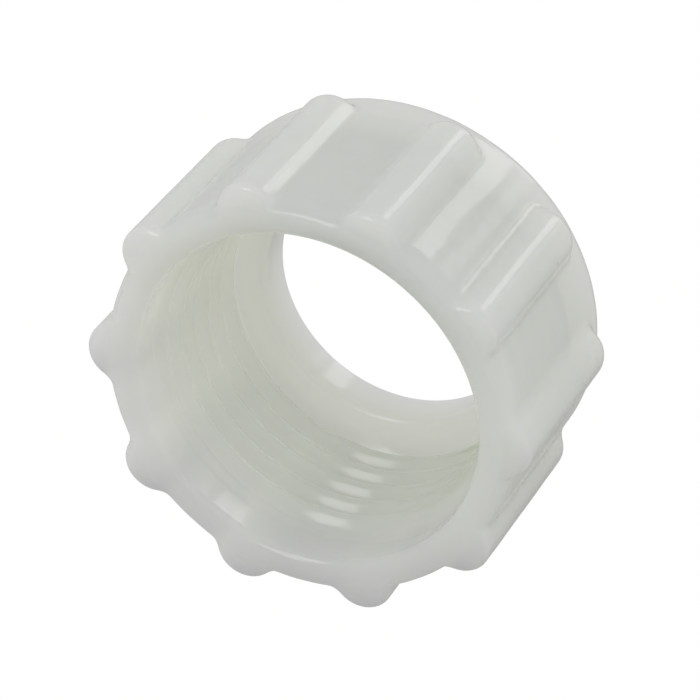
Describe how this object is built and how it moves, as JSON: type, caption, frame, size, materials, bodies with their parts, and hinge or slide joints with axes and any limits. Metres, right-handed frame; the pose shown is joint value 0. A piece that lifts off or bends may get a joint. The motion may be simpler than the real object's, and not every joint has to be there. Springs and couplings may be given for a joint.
{
  "type": "hose union nut",
  "caption": "Round moulded union nut with straight grip ribs, an internal helical hose thread and a through-bore in its back flange.",
  "frame": {"origin": "centre of the nut's outer flange face, on the nut's axis", "axes": "+Z along the nut's axis, from the flange towards the open threaded end; +X through the middle of one grip rib"},
  "size_m": [0.0356, 0.0342, 0.0191],
  "materials": {
    "nut_plastic": "milky natural moulded plastic, slightly translucent, semi-gloss, faint moulding flow marks"
  },
  "bodies": {
    "root": {"union_nut": "nut_plastic"}
  },
  "joints": []
}
